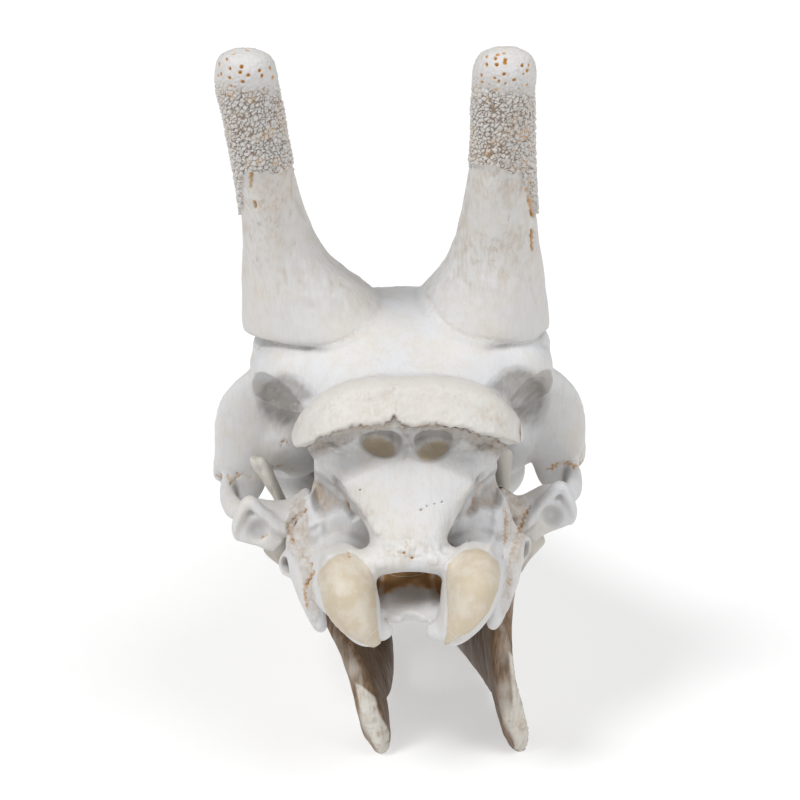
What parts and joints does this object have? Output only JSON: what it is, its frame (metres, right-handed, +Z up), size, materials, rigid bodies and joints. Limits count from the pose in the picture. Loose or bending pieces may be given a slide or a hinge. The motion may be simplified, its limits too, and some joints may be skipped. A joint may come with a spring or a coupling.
{
  "type": "giraffe skull",
  "caption": "Life-size giraffe skull with both jaws, standing on the lower jaw, horns swept back over a thick nuchal crest.",
  "frame": {"origin": "on the floor the lower jaw stands on, under the middle of the skull's outline", "axes": "+Y from the back of the head to the muzzle, +Z up, +X to the skull's right side"},
  "size_m": [0.2712, 0.6398, 0.497],
  "materials": {
    "brain_case": "matte",
    "frontal": "matte",
    "ossicone_left": "matte",
    "ossicone_right": "matte",
    "nuchal_crest": "matte",
    "occipital": "matte",
    "condyle_left": "satin",
    "condyle_right": "satin",
    "paroccipital_process_left": "matte",
    "paroccipital_process_right": "matte",
    "zygomatic_arch_left": "matte",
    "zygomatic_arch_right": "matte",
    "maxilla": "matte",
    "nasals": "matte",
    "premaxilla_left": "matte",
    "premaxilla_right": "matte",
    "mandible_left": "matte",
    "mandible_right": "matte"
  },
  "bodies": {
    "root": {"brain_case": "brain_case", "frontal": "frontal", "ossicone_left": "ossicone_left", "ossicone_right": "ossicone_right", "nuchal_crest": "nuchal_crest", "occipital": "occipital", "condyle_left": "condyle_left", "condyle_right": "condyle_right", "paroccipital_process_left": "paroccipital_process_left", "paroccipital_process_right": "paroccipital_process_right", "zygomatic_arch_left": "zygomatic_arch_left", "zygomatic_arch_right": "zygomatic_arch_right", "maxilla": "maxilla", "nasals": "nasals", "premaxilla_left": "premaxilla_left", "premaxilla_right": "premaxilla_right", "mandible_left": "mandible_left", "mandible_right": "mandible_right"}
  },
  "joints": []
}
